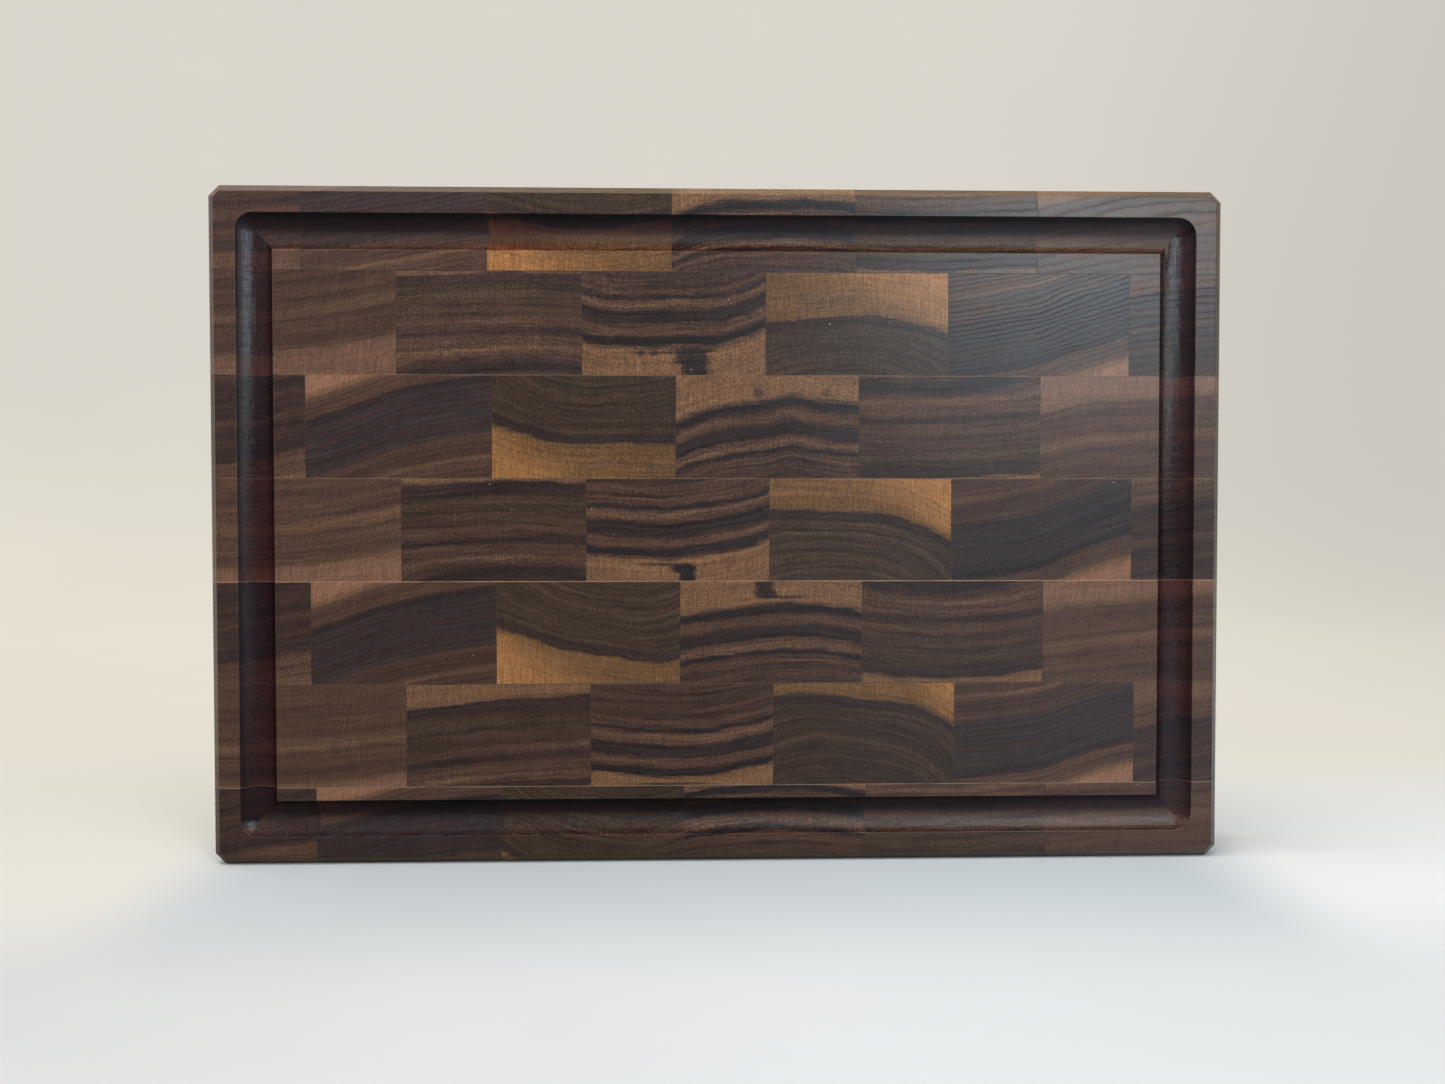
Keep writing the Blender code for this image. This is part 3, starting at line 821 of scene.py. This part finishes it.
def board_place(tree, u, v, centre, turned):
    """How far in mm a spot is from the board's outer edge, and whether that edge lies level."""
    way = -1.0 if turned else 1.0
    x = tree.math("MULTIPLY_ADD", u, way, (centre.x - (LOW.x + HIGH.x) / 2) / MM)
    z = tree.math("MULTIPLY_ADD", v, way, (centre.z - (LOW.z + HIGH.z) / 2) / MM)
    to_side = tree.math("SUBTRACT", BOARD_WIDTH / 2 / MM, tree.math("ABSOLUTE", x))
    to_top = tree.math("SUBTRACT", BOARD_HEIGHT / 2 / MM, tree.math("ABSOLUTE", z))
    to_corner = tree.math("SUBTRACT", tree.math("ADD", to_side, to_top), CORNER_CUT / MM)
    to_corner = tree.math("MULTIPLY", to_corner, math.sqrt(0.5))
    nearest = tree.math("MINIMUM", tree.math("MINIMUM", to_side, to_top), to_corner)
    return nearest, tree.math("LESS_THAN", to_top, to_side)


def depth_below_face(tree, y):
    """How far in mm a spot lies below the nearer face."""
    return tree.math("SUBTRACT", BOARD_THICKNESS / 2 / MM, tree.math("ABSOLUTE", y))


def groove_share(tree, border, depth):
    """1 on the groove's walls: what lies inside the rim and below the face."""
    return tree.math("MULTIPLY", tree.smooth(border, *RIM_ZONE), tree.smooth(depth, *WALL_DEPTH))


def ring_height(tree, figure, row, u, v, slow):
    """How far a spot lies above the figure's reference ring, in mm of the unspread figure."""
    swell = tree.wave_about_zero(tree.vector("MULTIPLY", slow, SWELL_SCALE), 1.0, SWELL)
    wobble = tree.wave_about_zero(tree.vector("MULTIPLY", slow, WOBBLE_SCALE), 1.0, WOBBLE, 3.0)
    warp = tree.math("MULTIPLY", tree.math("ADD", swell, wobble), figure.calm)
    line = figure.lines[row - 1]
    points = []
    for index, height in enumerate(line):
        points.append((index / (len(line) - 1), 0.5 + height / FIGURE_RANGE / 2))
    across = tree.math("MULTIPLY_ADD", u, 0.5 / figure.half, 0.5)
    curve = tree.math("SUBTRACT", tree.curve(across, points), 0.5)
    reference = tree.math("MULTIPLY", curve, 2 * FIGURE_RANGE)
    ring = tree.math("SUBTRACT", tree.math("ADD", v, warp), reference)
    if figure.arch:
        amount, middle = figure.arch
        off_middle = tree.math("DIVIDE", tree.math("SUBTRACT", u, middle), ARCH_REACH)
        drop = tree.math("MULTIPLY", tree.math("MULTIPLY", off_middle, off_middle), amount)
        ring = tree.math("ADD", ring, tree.math("MULTIPLY", drop, tree.smooth(ring, *ARCH_ZONE)))
    above, below = figure.spread[row - 1]
    if (above, below) != (1.0, 1.0):
        high = tree.math("DIVIDE", tree.math("MAXIMUM", ring, 0.0), above)
        low = tree.math("DIVIDE", tree.math("MINIMUM", ring, 0.0), below)
        ring = tree.math("ADD", high, low)
    return ring


def figure_colour(tree, figure, row, ring, u, v, slow):
    """The figure's bands and blotches, before any fine grain."""
    streak = tree.wave_about_zero(tree.vector("MULTIPLY", slow, STREAK_SCALE), 1.0, STREAK, 3.0)
    fray = tree.wave_about_zero(tree.vector("MULTIPLY", slow, FRAY_SCALE), 1.0, FRAY)
    feather = tree.wave_about_zero(slow, FEATHER_SCALE, FEATHER)
    wander = tree.math("ADD", tree.math("ADD", streak, fray), feather)
    ring = tree.math("MULTIPLY_ADD", wander, figure.calm, ring)
    stops = [(0.5 + height / BAND_RANGE / 2, colour) for height, colour in figure.bands]
    colour = tree.ramp(tree.math("MULTIPLY_ADD", ring, 0.5 / BAND_RANGE, 0.5), stops)
    if figure.glow:
        bright = tree.math("MULTIPLY_ADD", ring, GLOW_UP, GLOW_LEAST)
        bright = tree.math("MULTIPLY_ADD", u, GLOW_ACROSS, bright)
        bright = tree.math("MULTIPLY", tree.smooth(bright, *GLOW_STEP), tree.smooth(ring, *GLOW_START))
        colour = tree.mix(bright, colour, (*AMBER, 1.0))
    rag = tree.wave_about_zero(slow, RAG_SCALE, KNOT_RAG, 3.0)
    for knot_u, knot_v, half_width, half_height, strength in figure.knots.get(row, []):
        du = tree.math("DIVIDE", tree.math("SUBTRACT", u, knot_u), half_width)
        dv = tree.math("DIVIDE", tree.math("SUBTRACT", v, knot_v), half_height)
        square = tree.math("ADD", tree.math("MULTIPLY", du, du), tree.math("MULTIPLY", dv, dv))
        knot = tree.smooth(tree.math("ADD", tree.math("SQRT", square), rag), *KNOT_EDGE)
        colour = tree.mix(tree.math("MULTIPLY", knot, strength), colour, (*INK, 1.0))
    tone = figure.tone[row - 1]
    return tree.mix(1.0, colour, (tone, tone, tone, 1.0), "MULTIPLY")


def wood_material(name, strip, row, centre, turned, detail):
    """The material of one block: its strip's figure, as far as it has drifted in this row."""
    figure = FIGURES[strip]
    material, tree, shader = new_material(name)
    coordinates = tree.add("ShaderNodeTexCoord").outputs
    place = tree.vector("MULTIPLY", coordinates["Object"], (1 / MM, 1 / MM, 1 / MM))
    u, y, v = tree.add("ShaderNodeSeparateXYZ", [place]).outputs
    # The next slice's end lies further along the same fibres
    order = STRIPS.index(strip)
    along = (STRIP_STEP_U * order, SLICE_STEP * row, STRIP_STEP_V * order)
    place = tree.vector("ADD", place, along)
    slow = tree.vector("MULTIPLY", place, SLOW_FIBRES)
    ring = ring_height(tree, figure, row, u, v, slow)
    colour = figure_colour(tree, figure, row, ring, u, v, slow)

    border, level = board_place(tree, u, v, centre, turned)
    depth = depth_below_face(tree, y)
    # Sides and chamfers: paler long grain on the sides, painted sheen on the chamfers
    edge = tree.math("MULTIPLY", tree.smooth(border, *CHAMFER_ZONE), tree.smooth(depth, *CHAMFER_DEPTH))
    _, facing, upward = tree.add("ShaderNodeSeparateXYZ", [coordinates["Normal"]]).outputs
    facing = tree.math("ABSOLUTE", facing)
    upward = tree.math("MULTIPLY", upward, -1.0 if turned else 1.0)
    # Painted shade and light: walls that face down are painted darkest and those that face up lighter, with a
    # painted shadow just under a lip
    ragged_and_shaded = tree.math("MULTIPLY", tree.smooth(facing, *STEEP_FACING), tree.smooth(upward, *DOWNWARD_SHADE))
    faces_up = tree.smooth(upward, *UPWARD_ZONE)
    lit = tree.mix(level, faces_up, tree.smooth(upward, *LEVEL_UPWARD_ZONE))
    lit = tree.math("MULTIPLY", lit, tree.smooth(upward, *UNDER_LIP_SHADOW))
    # The inner lip's round gets a pale painted highlight
    lip = tree.math("MULTIPLY", tree.smooth(depth, *LIP_DEPTH), tree.smooth(facing, *LIP_FACING))
    lip = tree.math("MULTIPLY", lip, tree.smooth(border, *LIP_ZONE))
    strong, sapwood = figure.rings[1], figure.rings[1] * figure.sapwood

    values = {
        "Place": place,
        "Colour": colour,
        "Ring": ring,
        "Ring Width": figure.rings[0],
        "Ring Strength": tree.smooth(ring, *RING_FADE, strong, sapwood),
        "Ray Lean": figure.rays,
        "Edge": edge,
        "Groove": groove_share(tree, border, depth),
        "Ragged And Shaded": ragged_and_shaded,
        "Lip Highlight": lip,
        "Painted Light Share": lit,
        "Dull": tree.math("MULTIPLY", level, tree.math("SUBTRACT", 1.0, faces_up)),
        "Border": border,
        "Grain": figure.grain,
    }
    finished = tree.add("ShaderNodeGroup", node_tree=detail)
    for key, value in values.items():
        if isinstance(value, bpy.types.NodeSocket):
            material.node_tree.links.new(value, finished.inputs[key])
        else:
            finished.inputs[key].default_value = value
    bump = tree.add("ShaderNodeBump", {"Height": finished.outputs["Relief"]})
    bump.inputs["Strength"].default_value = BUMP_STRENGTH
    bump.inputs["Distance"].default_value = BUMP_DISTANCE
    material.node_tree.links.new(finished.outputs["Colour"], shader.inputs["Base Color"])
    material.node_tree.links.new(finished.outputs["Roughness"], shader.inputs["Roughness"])
    material.node_tree.links.new(bump.outputs[0], shader.inputs["Normal"])
    shader.inputs["Specular IOR Level"].default_value = WOOD_SPECULAR
    return material


def glue_material(name, colour, film, centre):
    """Cured glue under oil: pale in the row seam, faint between blocks and darker in the groove."""
    material, tree, shader = new_material(name)
    place = tree.add("ShaderNodeTexCoord").outputs["Object"]
    place = tree.vector("MULTIPLY", place, (1 / MM, 1 / MM, 1 / MM))
    across, y, height = tree.add("ShaderNodeSeparateXYZ", [place]).outputs
    patch = tree.noise(tree.vector("MULTIPLY", place, GLUE_PATCH_SCALE), 1.0, 3.0, 0.6)
    fine = tree.noise(tree.vector("MULTIPLY", place, GLUE_FINE_SCALE), 1.0, 2.0)
    speckle = tree.math("MULTIPLY_ADD", fine, GLUE_FINE_SWING, GLUE_FINE_LEAST)
    broken = tree.math("MULTIPLY", tree.smooth(patch, *GLUE_BROKEN), speckle)
    in_row = tree.math("LESS_THAN", tree.math("ABSOLUTE", height), film / MM)
    shade = tree.mix(in_row, (*STRIP_GLUE, 1.0), (*colour, 1.0))
    shade = tree.mix(1.0, shade, broken, "MULTIPLY")
    border, _ = board_place(tree, across, height, centre, False)
    in_groove = groove_share(tree, border, depth_below_face(tree, y))
    shade = tree.mix(in_groove, shade, tree.mix(1.0, shade, GLUE_SOAKED, "MULTIPLY"))
    material.node_tree.links.new(shade, shader.inputs["Base Color"])
    rough = tree.math("MULTIPLY_ADD", fine, GLUE_ROUGHNESS_SWING, GLUE_ROUGHNESS)
    material.node_tree.links.new(rough, shader.inputs["Roughness"])
    return material


# The board


def node_name(row, column):
    return f"row_{row}_block_{column}"


def past_border(value, low, high):
    """A raw side runs past the board where it lies on the board's border."""
    if value < low + OVERRUN:
        return low - OVERRUN
    if value > high - OVERRUN:
        return high + OVERRUN
    return value


def strip_centre(row, column, turned):
    """The middle of the whole strip end that a block was trimmed from."""
    strip = STRIPS[COLUMNS - column] if turned else STRIPS[column - 1]
    low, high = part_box(node_name(row, column))
    half = FIGURES[strip].half * MM
    if column == 1:
        x = high.x - half
    elif column == COLUMNS:
        x = low.x + half
    else:
        x = (low.x + high.x) / 2
    # The top and the bottom row are trimmed on their outer side
    if row == 1:
        z = low.z + SLICE_PITCH / 2
    else:
        z = high.z - SLICE_PITCH / 2
    return strip, Vector((x, (LOW.y + HIGH.y) / 2, z))


def make_blocks(envelope, groove):
    detail = detail_group()
    for row in range(1, ROWS + 1):
        turned = row % 2 == 1
        for column in range(1, COLUMNS + 1):
            name = node_name(row, column)
            low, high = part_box(name)
            left = past_border(low.x, LOW.x, HIGH.x)
            right = past_border(high.x, LOW.x, HIGH.x)
            bottom = past_border(low.z, LOW.z, HIGH.z)
            top = past_border(high.z, LOW.z, HIGH.z)
            outline = [(left, bottom), (right, bottom), (right, top), (left, top)]
            strip, centre = strip_centre(row, column, turned)
            turn = Matrix.Rotation(math.pi if turned else 0.0, 4, "Y")
            matrix = Matrix.Translation(centre) @ turn
            piece = finished_piece("wood_" + name, outline, envelope, groove, matrix)
            material = wood_material("walnut_" + name, strip, row, centre, turned, detail)
            piece.data.materials.clear()
            piece.data.materials.append(material)
            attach(piece, "root")
            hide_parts(name)


def gaps_in_row(row):
    """(start, end) of the seams between the blocks of a row, from left to right."""
    boxes = [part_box(node_name(row, column)) for column in range(1, COLUMNS + 1)]
    return [(near[1].x, far[0].x) for near, far in zip(boxes, boxes[1:])]


def make_glue(envelope, groove):
    """A film in each row seam, with the films between the blocks above it standing on it."""
    side = BOARD_WIDTH / 2 + OVERRUN
    for line in range(1, ROWS):
        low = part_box(node_name(line + 1, 1))[1].z
        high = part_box(node_name(line, 1))[0].z
        top = HIGH.z + OVERRUN if line == 1 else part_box(node_name(line, 1))[1].z
        outline = [(-side, low)]
        if line == ROWS - 1:
            for start, end in gaps_in_row(ROWS):
                foot = LOW.z - OVERRUN
                outline += [(start, low), (start, foot), (end, foot), (end, low)]
        outline += [(side, low), (side, high)]
        for start, end in reversed(gaps_in_row(line)):
            outline += [(end, high), (end, top), (start, top), (start, high)]
        outline.append((-side, high))
        centre = Vector((0.0, (LOW.y + HIGH.y) / 2, (low + high) / 2))
        node = f"glue_line_{line}"
        piece = finished_piece("film_" + node, outline, envelope, groove, Matrix.Translation(centre))
        piece.data.materials.clear()
        material = glue_material("glue_" + node, ROW_GLUE[line - 1], high - low, centre)
        piece.data.materials.append(material)
        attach(piece, "root")
        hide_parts(node)


def make_board():
    envelope = slab_envelope()
    groove = groove_cutter()
    make_blocks(envelope, groove)
    make_glue(envelope, groove)
    for cutter in (envelope, groove):
        bpy.data.objects.remove(cutter, do_unlink=True)


# Stage, light and camera


def make_sweep():
    """A pale floor that sweeps up into a backdrop."""
    line = [(SWEEP_FRONT, 0.0), (SWEEP_BACK, 0.0)]
    for step in range(1, SWEEP_STEPS + 1):
        angle = math.pi / 2 * step / SWEEP_STEPS
        y = SWEEP_BACK + SWEEP_RADIUS * math.sin(angle)
        line.append((y, SWEEP_RADIUS - SWEEP_RADIUS * math.cos(angle)))
    line.append((SWEEP_BACK + SWEEP_RADIUS, SWEEP_TOP))
    bm = bmesh.new()
    sides = (-SWEEP_HALF_WIDTH, SWEEP_HALF_WIDTH)
    rows = [[bm.verts.new((x, y, z)) for x in sides] for y, z in line]
    for near, far in zip(rows, rows[1:]):
        bm.faces.new((near[0], near[1], far[1], far[0]))
    mesh = bpy.data.meshes.new("sweep")
    bm.to_mesh(mesh)
    bm.free()
    mesh.shade_smooth()
    sweep = bpy.data.objects.new("sweep", mesh)
    bpy.context.scene.collection.objects.link(sweep)
    mesh.materials.append(sweep_material())


def sweep_material():
    """Pale paint that takes shadow round the board, with a painted shadow before it and painted light and
    shade across the floor and backdrop, and glows evenly far from it, where it is only seen.
    """
    material, tree, shader = new_material("pale_sweep")
    place = tree.add("ShaderNodeTexCoord").outputs["Object"]
    x, y, z = tree.add("ShaderNodeSeparateXYZ", [place]).outputs
    cloud = tree.smooth(tree.noise(place, STAGE_CLOUD_SCALE, 4.0, 0.55), *STAGE_CLOUD)
    path = tree.add("ShaderNodeLightPath").outputs
    seen = path["Is Camera Ray"]
    # A painted shadow on the floor just before the board
    near = tree.mix(tree.smooth(x, *NEAR_ZONE), FLOOR_SHADOW_LEFT, FLOOR_SHADOW_RIGHT)
    # The floor's painted shade on the left and painted light on the right
    side = tree.mix(tree.smooth(x, *SIDE_ZONE), FLOOR_LEFT, FLOOR_RIGHT)
    front = tree.mix(tree.smooth(x, *FRONT_ZONE), FLOOR_FRONT_LEFT, FLOOR_FRONT_RIGHT)
    front = tree.mix(tree.math("MULTIPLY", cloud, FRONT_CLOUD), front, FLOOR_RIGHT)
    sideways = tree.math("ABSOLUTE", x)
    beside = tree.smooth(sideways, BOARD_WIDTH / 2 - BESIDE_REACH, BOARD_WIDTH / 2 + BESIDE_REACH)
    before = tree.smooth(y, *BEFORE_ZONE)
    pale = tree.mix(before, tree.mix(beside, near, side), front)
    back = tree.smooth(y, *BACK_ZONE)
    far = tree.math("MAXIMUM", tree.smooth(y, *FAR_FRONT), tree.smooth(sideways, *FAR_SIDE))
    rest = tree.math("MULTIPLY", far, tree.math("SUBTRACT", 1.0, back))
    unlit = tree.mix(tree.math("ADD", back, rest), pale, BLACK)
    mirrored = tree.mix(tree.smooth(x, *MIRRORED_ZONE), FLOOR_MIRRORED_LEFT, FLOOR_MIRRORED_RIGHT)
    bounce = tree.mix(path["Is Glossy Ray"], FLOOR_BOUNCE, mirrored)
    shade = tree.mix(seen, bounce, unlit)
    material.node_tree.links.new(shade, shader.inputs["Base Color"])
    shader.inputs["Roughness"].default_value = SWEEP_ROUGHNESS
    shader.inputs["Specular IOR Level"].default_value = SWEEP_SPECULAR
    # The backdrop glows with painted light: paler at its foot and on the left, darker on the right
    right = tree.smooth(tree.math("MULTIPLY_ADD", z, WALL_LEAN, x), *WALL_ZONE)
    wall = tree.mix(right, WALL_LEFT, WALL_RIGHT)
    foot = tree.mix(right, WALL_FOOT, WALL_FOOT_RIGHT)
    raised = tree.math("MULTIPLY_ADD", right, FOOT_DROP, z)
    wall = tree.mix(tree.smooth(raised, *FOOT_ZONE), foot, wall)
    wall = tree.mix(tree.math("MULTIPLY", cloud, WALL_CLOUD), wall, WALL_RIGHT)
    wall = tree.mix(rest, wall, WORLD_SEEN)
    material.node_tree.links.new(wall, shader.inputs["Emission Color"])
    shown = tree.math("MAXIMUM", seen, tree.math("MULTIPLY", path["Is Glossy Ray"], WALL_IN_GLOSS))
    glow = tree.math("MULTIPLY_ADD", seen, rest, tree.math("MULTIPLY", shown, back))
    material.node_tree.links.new(glow, shader.inputs["Emission Strength"])
    return material


def add_light(name, place, target, size, power, colour):
    lamp = bpy.data.lights.new(name, "AREA")
    lamp.shape = "RECTANGLE"
    lamp.size, lamp.size_y = size
    lamp.energy = power
    lamp.color = colour
    obj = bpy.data.objects.new(name, lamp)
    obj.location = place
    obj.rotation_euler = (Vector(target) - Vector(place)).to_track_quat("-Z", "Y").to_euler()
    bpy.context.scene.collection.objects.link(obj)
    return obj


def make_light():
    middle = (0.0, 0.0, BOARD_HEIGHT / 2)
    overhead = add_light("overhead", (-0.45, -0.45, 1.5), middle, (1.8, 1.1), 29.5, (1.0, 0.97, 0.93))
    overhead.visible_glossy = False
    behind = add_light("behind", (-0.3, 1.3, 1.3), middle, (1.5, 1.0), 5.0, (1.0, 0.98, 0.95))
    behind.visible_glossy = False
    card = add_light("card", (1.25, -0.72, 0.42), middle, (0.35, 0.35), 2.3, (0.90, 0.96, 1.0))
    card.visible_diffuse = False
    add_light("window", (0.72, -1.50, 0.70), middle, (0.55, 0.42), 7.6, (0.66, 0.87, 1.0))
    add_light("skylight", (0.60, -0.85, 1.20), middle, (0.50, 0.50), 4.5, (1.0, 0.99, 0.96))
    world = bpy.data.worlds.new("studio")
    bpy.context.scene.world = world
    world.use_nodes = True
    tree = Tree(world.node_tree)
    way = tree.add("ShaderNodeTexCoord").outputs["Generated"]
    x, _, z = tree.add("ShaderNodeSeparateXYZ", [way]).outputs
    left = tree.math("MULTIPLY", tree.smooth(x, *WORLD_LEFT_X), tree.smooth(z, *WORLD_LEFT_Z))
    seen = tree.add("ShaderNodeLightPath").outputs["Is Camera Ray"]
    colour = tree.mix(seen, tree.mix(left, WORLD_LIGHT, WORLD_LEFT), WORLD_SEEN)
    world.node_tree.links.new(colour, world.node_tree.nodes["Background"].inputs["Color"])


def make_camera():
    camera = bpy.data.cameras.new("camera")
    camera.sensor_fit = "HORIZONTAL"
    camera.sensor_width = SENSOR_WIDTH
    camera.lens = SENSOR_WIDTH * FOCAL_PIXELS / IMAGE_WIDTH
    camera.clip_start = 0.01
    obj = bpy.data.objects.new("camera", camera)
    level = Matrix.Rotation(math.pi / 2 + CAMERA_PITCH, 4, "X")
    turned = Matrix.Rotation(CAMERA_YAW, 4, "Z") @ level @ Matrix.Rotation(CAMERA_ROLL, 4, "Z")
    obj.matrix_world = Matrix.Translation(CAMERA_PLACE) @ turned
    bpy.context.scene.collection.objects.link(obj)
    bpy.context.scene.camera = obj


make_board()
make_sweep()
make_light()
make_camera()
bpy.context.scene.view_settings.view_transform = "Standard"
